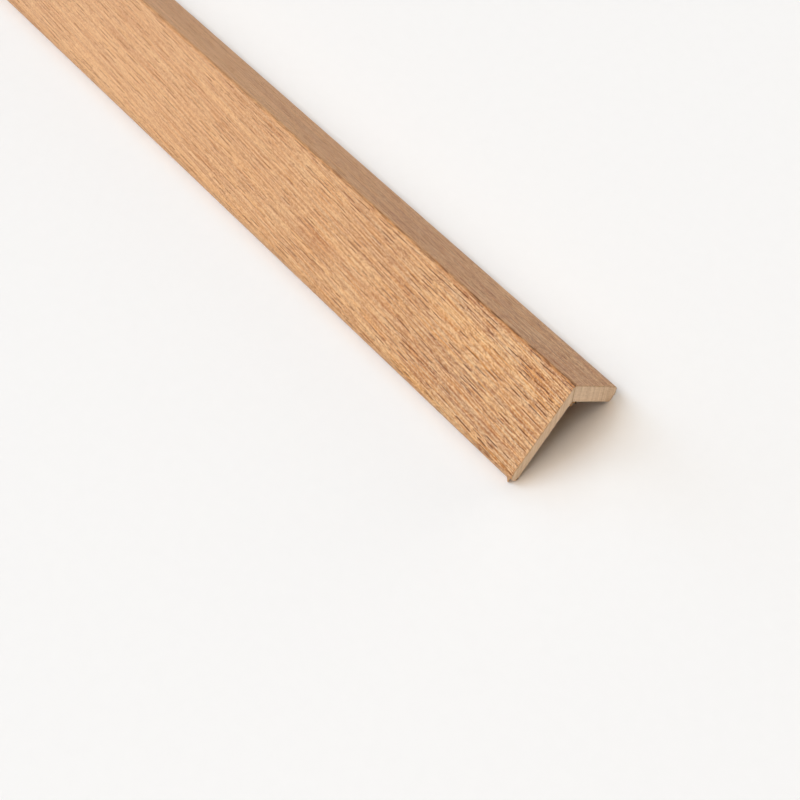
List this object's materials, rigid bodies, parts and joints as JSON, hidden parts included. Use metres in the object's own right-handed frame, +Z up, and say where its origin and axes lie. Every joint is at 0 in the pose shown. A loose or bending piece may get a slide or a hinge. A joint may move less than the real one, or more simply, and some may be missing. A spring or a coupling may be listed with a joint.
{
  "type": "corner guard moulding",
  "caption": "Straight L-section corner moulding of mitred fibreboard legs under wood-grain decor foil, glued over an outside wall corner to cover and protect it.",
  "frame": {"origin": "under the middle of the moulding, on the floor that its two free edges stand on", "axes": "+X along the length towards the skewed saw cut, -Y towards the left leg, +Z up towards the fold"},
  "size_m": [1.2, 0.033, 0.0198],
  "materials": {
    "fibreboard": "sawn fibreboard, matt beige",
    "wood_decor_foil": "printed and embossed open-pored wood grain, satin matt, grain along the length"
  },
  "bodies": {
    "root": {"left_leg_board": "fibreboard", "right_leg_board": "fibreboard", "decor_foil": "wood_decor_foil"}
  },
  "joints": []
}
